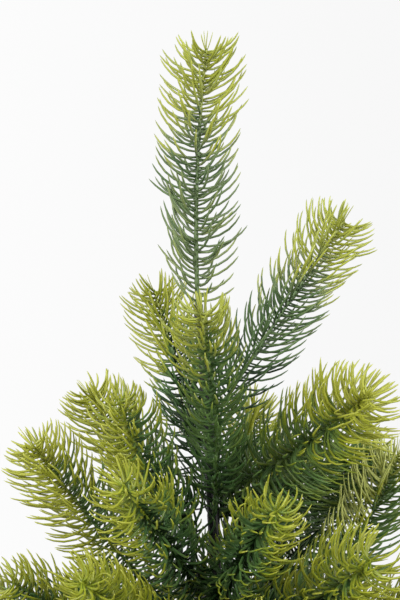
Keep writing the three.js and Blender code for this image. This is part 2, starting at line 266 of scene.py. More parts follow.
HOOKED = PLAIN._replace(
    tip=0.45, crowd=0.85, lean=54, sweep=96, spread=0, flare=-14, loose=1.4, dab=0.3, dusk=0.28,
)
BRANCH = PLAIN._replace(loose=1.4, yellow=0.62, bias=0.2, dab=0.34, dusk=0.3, root=0.02, body=0.17)
LOOKS = {
    # The leader takes the pale row throughout: partly its greyer green, partly painted light for its full
    # light at the top.
    "leader": PLAIN._replace(
        first=2, tip=0.64, crowd=0.9, lean=60, sweep=66, spread=6, flare=9, press=34, loose=1.1, width=1.1,
        yellow=0.64, side=0, bias=0.03, dab=0.04, dusk=0.05, root=0.42, body=0.32, pale=0.0,
    ),
    "spray_a1": PLAIN._replace(
        tip=0.54, crowd=1.05, lean=52, loose=0.8, width=1.02,
        yellow=0.64, bias=0.03, dab=0.1, dusk=0.02, root=0.04, top=0.79, pale=0.0,
    ),
    "spray_a2": PLAIN._replace(
        length=34, crowd=0.88, lean=47,
        yellow=0.78, side=180, bias=0.08, dab=0.0, dusk=0.12, root=0.22, body=0.38, pale=0.55,
    ),
    # Deep green root and body: painted shade, for a spray that stands in the shadow at the back.
    "spray_a3": PLAIN._replace(
        length=36, crowd=1.02,
        yellow=0.56, side=180, dab=0.15, root=0.0, body=0.1,
    ),
    # Light root, body and paint: painted light on needles that this spray's own upper needles shade.
    "spray_b1": HOOKED._replace(
        length=42, crowd=0.52, lean=56, sweep=66, spread=6, loose=1.6,
        yellow=0.7, bias=0.03, dab=0.06, dusk=0.0, root=0.4, body=0.42, top=0.9,
    ),
    # Deep green root and body: painted shade, for a spray that stands in the shadow at the back.
    "spray_b2": PLAIN._replace(
        crowd=1.4, width=0.85,
        yellow=0.85, back=80, bias=0.4, dab=0.05, root=0.0, body=0.08,
    ),
    "spray_b3": PLAIN._replace(first=24, crowd=0.85, yellow=0.44, side=200, top=0.82),
    "spray_b4": HOOKED._replace(
        first=20, length=35,
        yellow=0.64, side=175, bias=0.3, dusk=0.2, root=0.15, body=0.32,
    ),
    "spray_b5": PLAIN._replace(first=4, length=36, yellow=0.62, side=120),
    "spray_c1": HOOKED._replace(
        first=24, length=37, tip=0.36, crowd=0.95, loose=2.1,
        yellow=0.64, side=160, bias=0.2, dusk=0.45, root=0.12, body=0.3,
    ),
    "spray_c2": HOOKED._replace(
        length=35, tip=0.4, crowd=0.74, sweep=108, spread=4, loose=2.0, twist=0.22,
        yellow=0.76, side=20, bias=0.2, dab=0.4, dusk=0.4, root=0.26, body=0.33, top=0.7,
    ),
    # Lighter root and body: painted light, where b1 shades this spray.
    "spray_c3": PLAIN._replace(first=3, yellow=1.0, dab=0.1, root=0.22, body=0.38),
    # Deeper green body: painted shade, for a spray that stands in the shadow at the back.
    "spray_c4": PLAIN._replace(first=6, crowd=0.9, dab=0.1, body=0.16),
    "spray_d1": PLAIN._replace(
        length=37, tip=0.42, crowd=0.72, lean=52, spread=28,
        yellow=0.65, side=215, bias=0.2, dab=0.15, dusk=0.02, root=0.2, body=0.4, top=0.88,
    ),
    # Its sprayed needles take the pale row's brightest shades: painted light, where b1 shades them.
    "spray_d2": PLAIN._replace(
        length=39,
        yellow=0.84, side=170, bias=0.3, dab=0.1, dusk=0.04, root=0.18, body=0.36, top=1.0, pale=0.85,
    ),
    "spray_d3": HOOKED._replace(length=40, tip=0.6, crowd=0.75, loose=2.0, dusk=0.35, top=0.71),
    "spray_d4": HOOKED._replace(length=37, loose=2.0, yellow=0.52, dusk=0.35),
    # Lighter root and body: painted light, where b1 shades this spray.
    "spray_d5": PLAIN._replace(first=3, yellow=0.95, back=80, bias=0.3, dab=0.1, root=0.18, body=0.36),
    # Deep green root and body: painted shade, for a spray that stands in the shadow at the back.
    "spray_d6": PLAIN._replace(crowd=1.7, yellow=0.8, back=80, bias=0.4, dab=0.1, root=0.0, body=0.1),
    "spray_d7": PLAIN._replace(yellow=0.85, back=80, bias=0.35, dab=0.1),
    "spray_d8": PLAIN._replace(
        length=35, tip=0.55,
        yellow=0.85, side=0, bias=0.3, dab=0.15, body=0.14,
    ),
}

# How the paint lies: how softly it ends, how it varies from needle to needle, how much further down the twig
# it comes at needle tips than at their roots, and what it gains on the needles at the very tip of the twig.
PAINT_FADE = 0.14
PAINT_STRAY = 0.05
NEEDLE_PAINT = 0.32
TIP_PAINT = 0.25
TIP_PAINT_STRETCH = (0.86, 1.0)

# Where shades change: stretches of the twig for its body and for where the painted root shade weakens
# towards its tip, and of the needle for dab and for the painted root shade, which stands in for the shadow
# among the needles. A needle gets more or less of its dab, and paint hides part of it.
BODY_STRETCH = (0.1, 0.5)
DAB_STRETCH = (0.55, 0.9)
DAB_SHARES = (0.4, 1.3)
DAB_LOSS = 0.5
PAINTED_SHADE_STRETCH = (0.0, 0.45)
TIP_PAINTED_SHADE_STRETCH = (0.6, 0.95)
TIP_PAINTED_SHADE_LOSS = 0.5
SHADE_STRAY = 0.06

# The shade of painted stems, and how softly it begins.
STEM_PAINT = 0.72
STEM_PAINT_FADE = 0.2

# Needle colours from the deepest green to the palest tip, as linear base colours, and a paler, greyer row
# that is partly the needles' own greyer green and partly painted light, for the lit leader and for spray d2.
GREENS = [
    (0.006, 0.021, 0.003),
    (0.050, 0.113, 0.031),
    (0.092, 0.160, 0.040),
    (0.168, 0.214, 0.014),
    (0.278, 0.300, 0.022),
    (0.372, 0.388, 0.056),
]
PALE_AND_LIT_GREENS = [
    (0.016, 0.034, 0.014),
    (0.070, 0.124, 0.043),
    (0.124, 0.172, 0.068),
    (0.245, 0.285, 0.072),
    (0.262, 0.286, 0.016),
    (0.440, 0.475, 0.125),
]
SHADES = 14
GREEN_SHINE = 0.22
PAINT_SHINE = 0.58
NEEDLE_ROUGHNESS = 0.36

# A near-black finish: its two tones, its roughness where it is dullest and where it is smoothest, its shine,
# and the scale and the depth, in metres, of its grain.
Finish = namedtuple("Finish", "dark pale rough polish shine grain depth")
POLE_FINISH = Finish(
    dark=(0.003, 0.003, 0.004), pale=(0.008, 0.008, 0.009), rough=0.24, polish=0.14, shine=0.5,
    grain=500.0, depth=0.00008,
)
STAND_FINISH = Finish(
    dark=(0.010, 0.011, 0.010), pale=(0.022, 0.023, 0.022), rough=0.62, polish=0.46, shine=0.4,
    grain=900.0, depth=0.0002,
)
KNOB_FINISH = Finish(
    dark=(0.012, 0.013, 0.013), pale=(0.026, 0.027, 0.027), rough=0.46, polish=0.34, shine=0.4,
    grain=700.0, depth=0.0001,
)
DRIFT_SCALE = 40.0
DRIFT_DETAIL = 3.0
GRAIN_STRENGTH = 0.35

# Places of a mix node's colour sockets.
MIX_COLOUR_A = 6
MIX_COLOUR_B = 7
MIX_COLOUR_RESULT = 2

# The camera looks level at the tree's upper part. Its focal length is in pixels and its far end in metres.
CAMERA_PLACE = (-11.9, -1100.0, 563.0)
FOCAL_PIXELS = 1571.0
PHOTO_HEIGHT = 600
SENSOR = 36.0
CAMERA_FAR = 100.0

# The stage, in metres: two soft lights, a pale floor, and surroundings whose strength changes from level to
# overhead and, across the picture, from left to right.
Lamp = namedtuple("Lamp", "name place size power")
LAMPS = [
    Lamp("key", (-1.2, -1.7, 1.9), 1.2, 62.0),
    Lamp("fill", (1.4, -1.5, 1.7), 1.2, 44.0),
]
LAMP_TARGET = (0.0, 0.0, 0.45)
FLOOR_RADIUS = 1.7
FLOOR_FADE_FROM = 0.6
FLOOR_SIDES = 96
FLOOR_WHITE = (0.7, 0.7, 0.7, 1.0)
FLOOR_ROUGHNESS = 0.8
SKY_HEIGHTS = (0.35, 0.7)
SKY_STRENGTHS = (1.0, 0.3)
BACKDROP_SIDES = (-0.13, 0.13)
BACKDROP_STRENGTHS = (0.972, 0.934)


def scatter(seed):
    """A repeatable number from 0 to 1 for each seed, the same as in the solids."""
    wave = math.sin(seed * SCATTER_RATE) * SCATTER_SCALE
    return wave - math.floor(wave)


def jitter(seed, width):
    return (scatter(seed) - 0.5) * width


def smoothstep(low, high, x):
    t = np.clip((x - low) / (high - low), 0.0, 1.0)
    return t * t * (3.0 - 2.0 * t)


def unit(vectors):
    return vectors / np.linalg.norm(vectors, axis=-1, keepdims=True)


def heading(turn, rise):
    """A unit vector at a turn and a rise, in radians."""
    level = math.cos(rise)
    return np.array([level * math.cos(turn), level * math.sin(turn), math.sin(rise)])


def ring_angles(count):
    """The angles, in radians, of points set evenly round a ring."""
    return np.arange(count) * 2 * math.pi / count


def pole_shift(heights):
    """How far the pole's middle stands off the axis, along X."""
    share = np.maximum(0.0, (heights - POLE_LEAN_FROM) / (POLE_TOP - POLE_LEAN_FROM))
    return POLE_LEAN * share ** 2


def pole_radius(heights):
    share = (heights - POLE_FOOT) / (POLE_TOP - POLE_FOOT)
    return POLE_FOOT_RADIUS + (POLE_TOP_RADIUS - POLE_FOOT_RADIUS) * share


# Meshes

def mesh_from_arrays(name, points, loops, totals, shades):
    """A smooth mesh from points in millimetres, corner indices, and each face's corner count and material."""
    mesh = bpy.data.meshes.new(name)
    mesh.vertices.add(len(points))
    mesh.vertices.foreach_set("co", (points * MM).astype(np.float32).ravel())
    mesh.loops.add(len(loops))
    mesh.loops.foreach_set("vertex_index", loops.astype(np.int32))
    starts = np.concatenate([[0], np.cumsum(totals)[:-1]])
    mesh.polygons.add(len(totals))
    mesh.polygons.foreach_set("loop_start", starts.astype(np.int32))
    mesh.polygons.foreach_set("material_index", shades.astype(np.int32))
    mesh.polygons.foreach_set("use_smooth", np.ones(len(totals), bool))
    mesh.update(calc_edges=True)
    return mesh


def add_piece(mesh, materials, replaced):
    """Place a mesh as a piece of the object, with its materials and the solids that it stands for."""
    for material in materials:
        mesh.materials.append(material)
    piece = bpy.data.objects.new(mesh.name, mesh)
    bpy.context.scene.collection.objects.link(piece)
    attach(piece, "root")
    if replaced:
        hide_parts(*replaced)


# The faces of one kind of closed tube: corner indices, and each face's corner count and band along the tube.
TubeFaces = namedtuple("TubeFaces", "loops totals bands")


def tube_faces(sides, rings):
    """A tube of rings with a flat cap at its root, and a fan to one last point at its tip."""
    loops = []
    totals = []
    bands = []
    for ring in range(rings - 1):
        for side in range(sides):
            after = (side + 1) % sides
            low = ring * sides
            high = low + sides
            loops += [low + side, low + after, high + after, high + side]
            totals.append(4)
            bands.append(ring)
    last = (rings - 1) * sides
    apex = rings * sides
    for side in range(sides):
        loops += [last + side, last + (side + 1) % sides, apex]
        totals.append(3)
        bands.append(rings - 1)
    loops += range(sides - 1, -1, -1)
    totals.append(sides)
    bands.append(0)
    return TubeFaces(np.array(loops), np.array(totals), np.array(bands))


def tubes_mesh(name, points, faces, shades):
    """Many tubes of one kind in one mesh: points (tubes, points each, 3) and shades (tubes, faces each)."""
    count, each, _ = points.shape
    loops = (np.arange(count)[:, None] * each + faces.loops[None, :]).ravel()
    return mesh_from_arrays(name, points.reshape(-1, 3), loops, np.tile(faces.totals, count), shades.ravel())


def turned_mesh(name, profile, segments, place):
    """A closed mesh turned from a profile of (offset, radius) pairs, whose first and last radii are nought.

    The function place(offset, radius, angle) gives the point, with angles as an array.
    """
    psi = ring_angles(segments)
    rings = [place(offset, radius, psi) for offset, radius in profile[1:-1]]
    ends = [place(profile[i][0], 0.0, psi[:1]) for i in (0, -1)]
    points = np.concatenate(rings + ends)
    loops = []
    totals = []
    for ring in range(len(rings) - 1):
        for side in range(segments):
            after = (side + 1) % segments
            low = ring * segments
            high = low + segments
            loops += [low + side, low + after, high + after, high + side]
            totals.append(4)
    first = len(rings) * segments
    last = (len(rings) - 1) * segments
    for side in range(segments):
        after = (side + 1) % segments
        loops += [after, side, first, last + side, last + after, first + 1]
        totals += [3, 3]
    return mesh_from_arrays(name, points, np.array(loops), np.array(totals), np.zeros(len(totals)))


# Twigs

class Twig:
    """A bent line from a root to a tip, with its stem's radii and its look. Its angles are radians."""

    def __init__(self, root, turn, rise, curl, length, sway, radii, look):
        span = length / 2
        self.across = np.array([-math.sin(turn), math.cos(turn), 0.0])
        self.root = root
        self.tip = root + (heading(turn, rise - curl / 2) + heading(turn, rise + curl / 2)) * span
        self.middle = root + heading(turn, rise - curl / 2) * span + self.across * sway
        self.length = length
        self.root_radius, self.tip_radius = radii
        self.look = look

    def points(self, shares):
        t = np.asarray(shares)[:, None]
        return (1 - t) ** 2 * self.root + 2 * t * (1 - t) * self.middle + t ** 2 * self.tip

    def frames(self, shares):
        """Unit vectors along the twig, to its side and square to both."""
        t = np.asarray(shares)[:, None]
        along = unit((1 - t) * (self.middle - self.root) + t * (self.tip - self.middle))
        side = unit(self.across - along * (along @ self.across)[:, None])
        return along, side, np.cross(along, side)

    def radii(self, shares):
        return self.root_radius + (self.tip_radius - self.root_radius) * np.asarray(shares)


def pole_twig(spray, radii, look):
    """A twig that starts on the pole's middle line."""
    root = np.array([pole_shift(spray.height), 0.0, spray.height])
    turn, rise, curl = (math.radians(angle) for angle in (spray.turn, spray.rise, spray.curl))
    return Twig(root, turn, rise, curl, spray.length, spray.sway, radii, look)


def side_twigs(main):
    """Two twigs that fork off a main twig to the left and the right."""
    fork = main.points([SIDE_FORK])[0]
    along = main.frames([SIDE_FORK])[0][0]
    curl = math.radians(SIDE_CURL)
    radii = [radius * SIDE_THICKNESS for radius in STEM_RADII]
    twigs = []
    for hand in (-1, 1):
        angle = math.radians(SIDE_ANGLE) * hand
        way = along * math.cos(angle) + main.across * math.sin(angle)
        turn = math.atan2(way[1], way[0])
        rise = math.asin(way[2]) + curl / 2
        twigs.append(Twig(fork, turn, rise, curl, main.length * SIDE_LENGTH_SHARE, 0.0, radii, main.look))
    return twigs


def lower_tier(name, row, tier):
    """The twigs and the nodes of one ring of branches, with each branch's main twig first."""
    twigs = []
    nodes = []
    for i in range(tier.count):
        seed = (row + 1) * TIER_SEEDS + i
        height = tier.height + (i % 2) * HEIGHT_STEP
        turn = tier.turn + i * 360 / tier.count + jitter(seed, TURN_JITTER)
        rise = tier.rise + jitter(seed + RISE_SEED, RISE_JITTER)
        look = BRANCH._replace(yellow=BRANCH.yellow + jitter(seed + PAINT_SEED, PAINT_JITTER))
        main = pole_twig(Spray(height, turn, rise, tier.curl, tier.length), STEM_RADII, look)
        twigs += [main, *side_twigs(main)]
        nodes.append(f"{name}{i + 1}")
    return twigs, nodes


def grow_crown():
    """Every tier's twigs, with the nodes that they stand for."""
    crown = {"leader": ([pole_twig(LEADER, LEADER_STEM_RADII, LOOKS["leader"])], ["leader"])}
    for name, sprays in UPPER_SPRAYS.items():
        nodes = [f"{name}{i + 1}" for i in range(len(sprays))]
        twigs = [pole_twig(spray, STEM_RADII, LOOKS[node]) for node, spray in zip(nodes, sprays)]
        crown[name] = (twigs, nodes)
    for row, (name, tier) in enumerate(LOWER_TIERS.items()):
        crown[name] = lower_tier(name, row, tier)
    return crown


# Needles

class NeedleForm:
    """How finely a needle is meshed: its sides, and the shares of its length where it has rings."""

    def __init__(self, sides, stations):
        self.sides = sides
        self.stations = np.array(stations)
        self.faces = tube_faces(sides, len(stations))
        edges = np.append(self.stations, 1.0)
        self.face_shares = ((edges[1:] + edges[:-1]) / 2)[self.faces.bands]


FINE_FORM = NeedleForm(5, [0.0, 0.2, 0.42, 0.64, 0.82, 0.94])
FIRM_FORM = NeedleForm(5, [0.0, 0.28, 0.56, 0.8, 0.94])
LOOSE_FORM = NeedleForm(4, [0.0, 0.34, 0.66, 0.9])
TIER_FORMS = {"branch_e": FIRM_FORM, "branch_f": LOOSE_FORM, "branch_g": LOOSE_FORM, "branch_h": LOOSE_FORM}

# Where each needle of a twig stands: share along the twig, angle round it, length, lean and sweep, side bend
# as a share of the length, and width. Angles are radians.
Layout = namedtuple("Layout", "share angle length lean sweep bend width")


def whorl_layout(twig, spacing, crowding, rng):
    """The needles of a twig's whorls."""
    look = twig.look
    whorls = int((twig.length - look.first - WHORL_LAST) / (spacing * look.crowd)) + 1
    whorl = np.repeat(np.arange(whorls), WHORL_SIDES)
    side = np.tile(np.arange(WHORL_SIDES), whorls)
    count = len(whorl)
    start = look.first / twig.length
    end = 1 - WHORL_LAST / twig.length
    share = start + (end - start) * (whorl / (whorls - 1)) ** crowding
    share = np.clip(share + rng.normal(0, PLACE_STRAY, count) / twig.length, start, end)
    angle = math.radians(WHORL_TURN) + (whorl / 2 + side) * 2 * math.pi / WHORL_SIDES
    angle = angle + rng.normal(0, ANGLE_STRAY * look.loose, count)
    from_root = np.clip(share * twig.length / ROOT_RUN, 0, 1)
    from_tip = np.clip((1 - share) * twig.length / TIP_RUN, 0, 1)
    grown = (ROOT_SHARE + (1 - ROOT_SHARE) * from_root) * (look.tip + (1 - look.tip) * from_tip)
    length = look.length * grown * (1 + rng.normal(0, LENGTH_STRAY * look.loose, count))
    spread = look.spread * (1 - smoothstep(*SPREAD_STRETCH, share))
    lean = look.lean + spread + rng.normal(0, LEAN_STRAY * look.loose, count)
    lean += look.flare * rng.random(count) * (from_tip < FLARED_PART)
    sweep = look.sweep + rng.normal(0, SWEEP_STRAY * look.loose, count)
    unruly = rng.random(count) < UNRULY_SHARE
    angle = np.where(unruly, angle + rng.normal(0, UNRULY_ANGLE, count), angle)
    bend = look.twist + rng.normal(0, BEND_STRAY * look.loose, count) * np.where(unruly, UNRULY_BEND, 1.0)
    return Layout(share, angle, length, np.radians(lean), np.radians(sweep), bend, np.full(count, look.width))


def fibre_layout(twig, rng):
    """The few thin fibres ahead of a twig's tip."""
    share = np.full(FIBRES, 1 - WHORL_LAST / twig.length)
    angle = rng.uniform(0, 2 * math.pi, FIBRES)
    length = rng.uniform(*FIBRE_LENGTHS, FIBRES)
    lean = np.radians(rng.uniform(*FIBRE_LEANS, FIBRES))
    sweep = np.radians(rng.uniform(*FIBRE_SWEEPS, FIBRES))
    bend = rng.normal(0, FIBRE_BEND, FIBRES)
    return Layout(share, angle, length, lean, sweep, bend, np.full(FIBRES, FIBRE_WIDTH))


def needle_layout(name, twig, rng):
    if name == "leader":
        whorls = whorl_layout(twig, LEADER_WHORL_SPACING, LEADER_WHORL_CROWDING, rng)
    else:
        whorls = whorl_layout(twig, WHORL_SPACING, WHORL_CROWDING, rng)
    fibres = fibre_layout(twig, rng)
    return Layout(*(np.concatenate(pair) for pair in zip(whorls, fibres)))


def needle_taper(u):
    """A needle's thickness along it, against its full thickness."""
    waist = WAIST_SHARE + (1 - WAIST_SHARE) * smoothstep(0.0, WAIST_RUN, u)
    point = np.clip((u - POINT_FROM) / (1 - POINT_FROM), 0, 1)
    return waist * (1 - POINT_LOSS * point ** 2)


def painted_side(twig):
    """The way that the paint was sprayed from."""
    side = math.radians(twig.look.side)
    back = math.radians(twig.look.back)
    return np.array([math.cos(back) * math.cos(side), math.sin(back), math.cos(back) * math.sin(side)])


def needle_press(twig, layout, out):
    """How far needles lean in: lower ones away from the sprayed side, and less so the upper ones on it."""
    facing = out @ painted_side(twig)
    upper = smoothstep(*PRESS_STRETCH, layout.share)
    on_lower = np.clip(-facing, 0, 1) * (1 - upper)
    on_upper = UPPER_PRESS * np.clip(facing, 0, 1) * upper
    return math.radians(twig.look.press) * (on_lower + on_upper)


def needle_points(twig, layout, form):
    """Points of a twig's needles (needles, points each, 3), middle lines and the ways they stand out."""
    along, side, over = twig.frames(layout.share)
    out = np.cos(layout.angle)[:, None] * side + np.sin(layout.angle)[:, None] * over
    cross = np.cross(along, out)
    lean = layout.lean - needle_press(twig, layout, out)
    root = twig.points(layout.share) + out * (twig.radii(layout.share) * NEEDLE_SEAT)[:, None]
    u = np.append(form.stations, 1.0)[None, :]
    sweep = layout.sweep[:, None]
    start = lean[:, None] + sweep / 2
    turn = start - sweep * u
    reach = layout.length[:, None]
    forward = (np.sin(start) - np.sin(turn)) / sweep * reach
    outward = (np.cos(turn) - np.cos(start)) / sweep * reach
    sideways = layout.bend[:, None] * reach * u ** 2
    spine = root[:, None, :] + forward[..., None] * along[:, None, :] + outward[..., None] * out[:, None, :]
    spine = spine + sideways[..., None] * cross[:, None, :]
    normal = np.cos(turn)[..., None] * out[:, None, :] - np.sin(turn)[..., None] * along[:, None, :]
    psi = ring_angles(form.sides)
    taper = (layout.width[:, None] * needle_taper(form.stations)[None, :])[..., None, None]
    wide = NEEDLE_HALF_WIDTH * np.cos(psi)[None, None, :, None] * cross[:, None, None, :]
    deep = NEEDLE_HALF_DEPTH * np.sin(psi)[None, None, :, None] * normal[:, :-1, None, :]
    rings = spine[:, :-1, None, :] + taper * (wide + deep)
    points = np.concatenate([rings.reshape(len(out), -1, 3), spine[:, -1:, :]], axis=1)
    return points, spine, out


def clear_of_pole(spine):
    """Which needles keep off the pole all along."""
    heights = spine[..., 2]
    gap = np.hypot(spine[..., 0] - pole_shift(heights), spine[..., 1])
    inside = (gap < pole_radius(heights) + POLE_CLEARANCE) & (heights < POLE_TOP)
    return ~inside.any(axis=1)


def shade_index(value, twig):
    """The place in the list of needle materials for a value from 0, deepest green, to 1."""
    index = np.clip(np.rint(value * (SHADES - 1)), 0, SHADES - 1)
    return index + SHADES * (index >= twig.look.pale * (SHADES - 1))


def needle_shades(twig, layout, out, form, rng):
    """A shade for each face: yellower towards the twig's tip, each needle's own tip and the sprayed side;
    painted shade darkens the roots.
    """
    look = twig.look
    count = len(out)
    u = form.face_shares[None, :]
    place = layout.share + look.bias * (out @ painted_side(twig)) + rng.normal(0, PAINT_STRAY, count)
    place = place + TIP_PAINT * smoothstep(*TIP_PAINT_STRETCH, layout.share)
    place = place[:, None] + NEEDLE_PAINT * (u - 0.5)
    paint = smoothstep(look.yellow - PAINT_FADE, look.yellow + PAINT_FADE, place)
    # Where the root's shade is deeper than the body's, the darkening towards the pole is painted shade.
    base = (look.root + (look.body - look.root) * smoothstep(*BODY_STRETCH, layout.share))[:, None]
    dab = look.dab * rng.uniform(*DAB_SHARES, count)[:, None] * smoothstep(*DAB_STRETCH, u)
    value = base + (look.top - base) * paint + dab * (1 - DAB_LOSS * paint)
    # Painted shade: each needle is darker at its root, where its neighbours shade it, and less so near the
    # twig's tip.
    painted_shade_strength = (1 - TIP_PAINTED_SHADE_LOSS * smoothstep(*TIP_PAINTED_SHADE_STRETCH, layout.share))[:, None]
    value -= look.dusk * (1 - smoothstep(*PAINTED_SHADE_STRETCH, u)) * painted_shade_strength
    value += rng.normal(0, SHADE_STRAY, count)[:, None]
    return shade_index(value, twig)


def make_needles(name, row, twigs, nodes, greens):
    """All needles of one tier, as one piece."""
    rng = np.random.default_rng([SEED, row])
    form = TIER_FORMS.get(name, FINE_FORM)
    points = []
    shades = []
    for twig in twigs:
        layout = needle_layout(name, twig, rng)
        rings, spine, out = needle_points(twig, layout, form)
        keep = clear_of_pole(spine)
        points.append(rings[keep])
        shades.append(needle_shades(twig, layout, out, form, rng)[keep])
    mesh = tubes_mesh(f"needles_{name}", np.concatenate(points), form.faces, np.concatenate(shades))
    add_piece(mesh, greens, nodes)


# Twig stems

def stem_points(twig, sides, rings):
    """A ridged, tapering stem with a slight swelling at each knot."""
    shares = np.linspace(0.0, 1.0 - STEM_CUT / twig.length, rings)
    along, side, over = twig.frames(shares)
    psi = ring_angles(sides)
    knots = 1 + STEM_KNOT_DEPTH * np.cos(shares * twig.length * 2 * math.pi / STEM_KNOT_SPACING)
    ridges = 1 + STEM_RIDGE_DEPTH * np.cos(STEM_RIDGES * psi)
    radius = (twig.radii(shares) * knots)[:, None] * ridges[None, :]
    ring = np.cos(psi)[None, :, None] * side[:, None, :] + np.sin(psi)[None, :, None] * over[:, None, :]
    rings = twig.points(shares)[:, None, :] + radius[..., None] * ring
    apex = twig.points(shares[-1:]) + along[-1:] * STEM_POINT
    return np.concatenate([rings.reshape(-1, 3), apex])


def stem_shades(twig, shares):
    """A shade for each face of a stem, which turns yellow where the twig's needles do."""
    look = twig.look
    painted = smoothstep(look.yellow, look.yellow + STEM_PAINT_FADE, shares)
    return shade_index(look.body + (STEM_PAINT - look.body) * painted, twig)


def make_stems(name, twigs, sides, rings, greens):
    faces = tube_faces(sides, rings)
    shares = (faces.bands + 0.5) / rings
    points = np.stack([stem_points(twig, sides, rings) for twig in twigs])
    shades = np.stack([stem_shades(twig, shares) for twig in twigs])
    add_piece(tubes_mesh(name, points, faces, shades), greens, [])


# Pole and stand

def make_pole(root_heights, material):
    """The tapering pole, wound with tape whose turns overlap, and thicker where twigs are bound on."""
    rings = int((POLE_TOP - POLE_FOOT) / POLE_RING_STEP)
    heights = np.linspace(POLE_FOOT, POLE_TOP, rings)
    psi = ring_angles(POLE_SIDES)
    turns = (heights[:, None] / TAPE_PITCH - psi[None, :] / (2 * math.pi)) % 1.0
    from_roots = (heights[:, None] - np.array(root_heights)[None, :]) / ROOT_LUMP_RUN
    lumps = np.exp(-from_roots ** 2).max(axis=1)
    radius = (pole_radius(heights) + ROOT_LUMP * lumps)[:, None] + TAPE_STEP * (turns - 1.0)
    across = pole_shift(heights)[:, None] + radius * np.cos(psi)
    upward = np.broadcast_to(heights[:, None], radius.shape)
    points = np.stack([across, radius * np.sin(psi), upward], axis=-1)
    apex = np.array([[pole_shift(POLE_TOP), 0.0, POLE_TOP]])
    faces = tube_faces(POLE_SIDES, rings)
    every = np.concatenate([points.reshape(-1, 3), apex])[None]
    mesh = tubes_mesh("pole_taped", every, faces, np.zeros((1, len(faces.totals))))
    add_piece(mesh, [material], ["pole"])


def make_socket(material):
    def place(height, radius, psi):
        return np.stack([radius * np.cos(psi), radius * np.sin(psi), np.full_like(psi, height)], axis=-1)

    mesh = turned_mesh("stand_cup", SOCKET_PROFILE, SOCKET_SEGMENTS, place)
    mesh.set_sharp_from_angle(angle=math.radians(SOCKET_SHARP_ANGLE))
    add_piece(mesh, [material], ["stand_socket"])


def leg_tops(offsets):
    """Height of a leg's top, which falls in a hollow curve from its root and runs out level."""
    t = np.linspace(0, 1, LEG_CURVE_STEPS)
    along = 2 * t * (1 - t) * LEG_BEND_AT + t ** 2 * LEG_REACH
    height = (1 - t) ** 2 * LEG_HEIGHT + (1 - (1 - t) ** 2) * LEG_TIP_HEIGHT
    return np.interp(offsets, along, height)


def leg_sections():
    """Cross-sections along one leg: flat below, rounded above, and drawn in to a round end."""
    round_end = LEG_TIP_WIDTH / 2
    straight = np.linspace(LEG_START, LEG_REACH - round_end, LEG_STATIONS)
    bow = np.radians(np.linspace(*LEG_END_ARC, LEG_END_STEPS))
    offsets = np.concatenate([straight, LEG_REACH - round_end + round_end * np.sin(bow)])
    narrowing = np.concatenate([np.ones(LEG_STATIONS), np.cos(bow)])
    half = (LEG_WIDTH + (LEG_TIP_WIDTH - LEG_WIDTH) * offsets / LEG_REACH) / 2 * narrowing
    half = half[:, None]
    top = leg_tops(offsets)[:, None]
    crown = np.minimum(half * LEG_CROWN_OF_HALF_WIDTH, top * LEG_CROWN_OF_HEIGHT)
    arc = np.linspace(0, math.pi, LEG_ARC_STEPS)
    sides = np.concatenate([half * np.cos(arc), half * LEG_FOOT_SIDES], axis=1)
    rise = np.concatenate([top - crown + crown * np.sin(arc), np.ones_like(top) * LEG_FOOT_HEIGHTS], axis=1)
    along = np.broadcast_to(offsets[:, None], sides.shape)
    return np.stack([along, sides, rise], axis=-1)


def make_legs(material):
    sections = leg_sections()
    rings, sides, _ = sections.shape
    end = sections[-1].mean(axis=0) + [LEG_END_POINT, 0.0, 0.0]
    local = np.concatenate([sections.reshape(-1, 3), end[None]])
    legs = []
    for i in range(LEG_COUNT):
        turn = math.radians(LEG_TURN + i * 360 / LEG_COUNT)
        ahead = np.array([math.cos(turn), math.sin(turn), 0.0])
        left = np.array([-math.sin(turn), math.cos(turn), 0.0])
        legs.append(local[:, :1] * ahead + local[:, 1:2] * left + local[:, 2:] * [0.0, 0.0, 1.0])
    faces = tube_faces(sides, rings)
    mesh = tubes_mesh("stand_feet", np.stack(legs), faces, np.zeros((LEG_COUNT, len(faces.totals))))
    mesh.set_sharp_from_angle(angle=math.radians(LEG_SHARP_ANGLE))
    add_piece(mesh, [material], [f"stand_leg_{i + 1}" for i in range(LEG_COUNT)])


def make_knob(material):
    def place(offset, radius, psi):
        lobes = KNOB_LOBE_SHARE * (0.5 - 0.5 * np.cos(KNOB_LOBES * psi)) * (radius > KNOB_LOBED_FROM)
        reach = radius * (1 - lobes)
        height = KNOB_HEIGHT + reach * np.sin(psi)
        return np.stack([reach * np.cos(psi), np.full_like(psi, -offset), height], axis=-1)

    mesh = turned_mesh("clamp_knob", KNOB_PROFILE, KNOB_SEGMENTS, place)
    mesh.set_sharp_from_angle(angle=math.radians(KNOB_SHARP_ANGLE))
    add_piece(mesh, [material], ["stand_knob"])


# Materials

def principled(name):
    material = bpy.data.materials.new(name)
    material.use_nodes = True
    return material, material.node_tree.nodes["Principled BSDF"]


def map_range(tree, value, span, results, kind="LINEAR"):
    """Carry a socket's value over from one span to another, and return the new socket."""
    node = tree.nodes.new("ShaderNodeMapRange")
    node.interpolation_type = kind
    for socket, number in zip(("From Min", "From Max", "To Min", "To Max"), (*span, *results)):
        node.inputs[socket].default_value = number
    tree.links.new(value, node.inputs["Value"])
    return node.outputs["Result"]


def needle_greens(name, colours):
    """Plain needle materials, spread evenly along a row of colours. The sprayed shades have more shine."""
    anchors = np.array(colours)
    places = np.linspace(0, len(anchors) - 1, SHADES)
    greens = []
    for i, place in enumerate(places):
        colour = [np.interp(place, range(len(anchors)), anchors[:, channel]) for channel in range(3)]
        shine = GREEN_SHINE + (PAINT_SHINE - GREEN_SHINE) * i / (SHADES - 1)
        material, shader = principled(f"{name}_{i + 1:02d}")
        shader.inputs["Base Color"].default_value = (*colour, 1.0)
        shader.inputs["Roughness"].default_value = NEEDLE_ROUGHNESS
        shader.inputs["Specular IOR Level"].default_value = shine
        greens.append(material)
    return greens


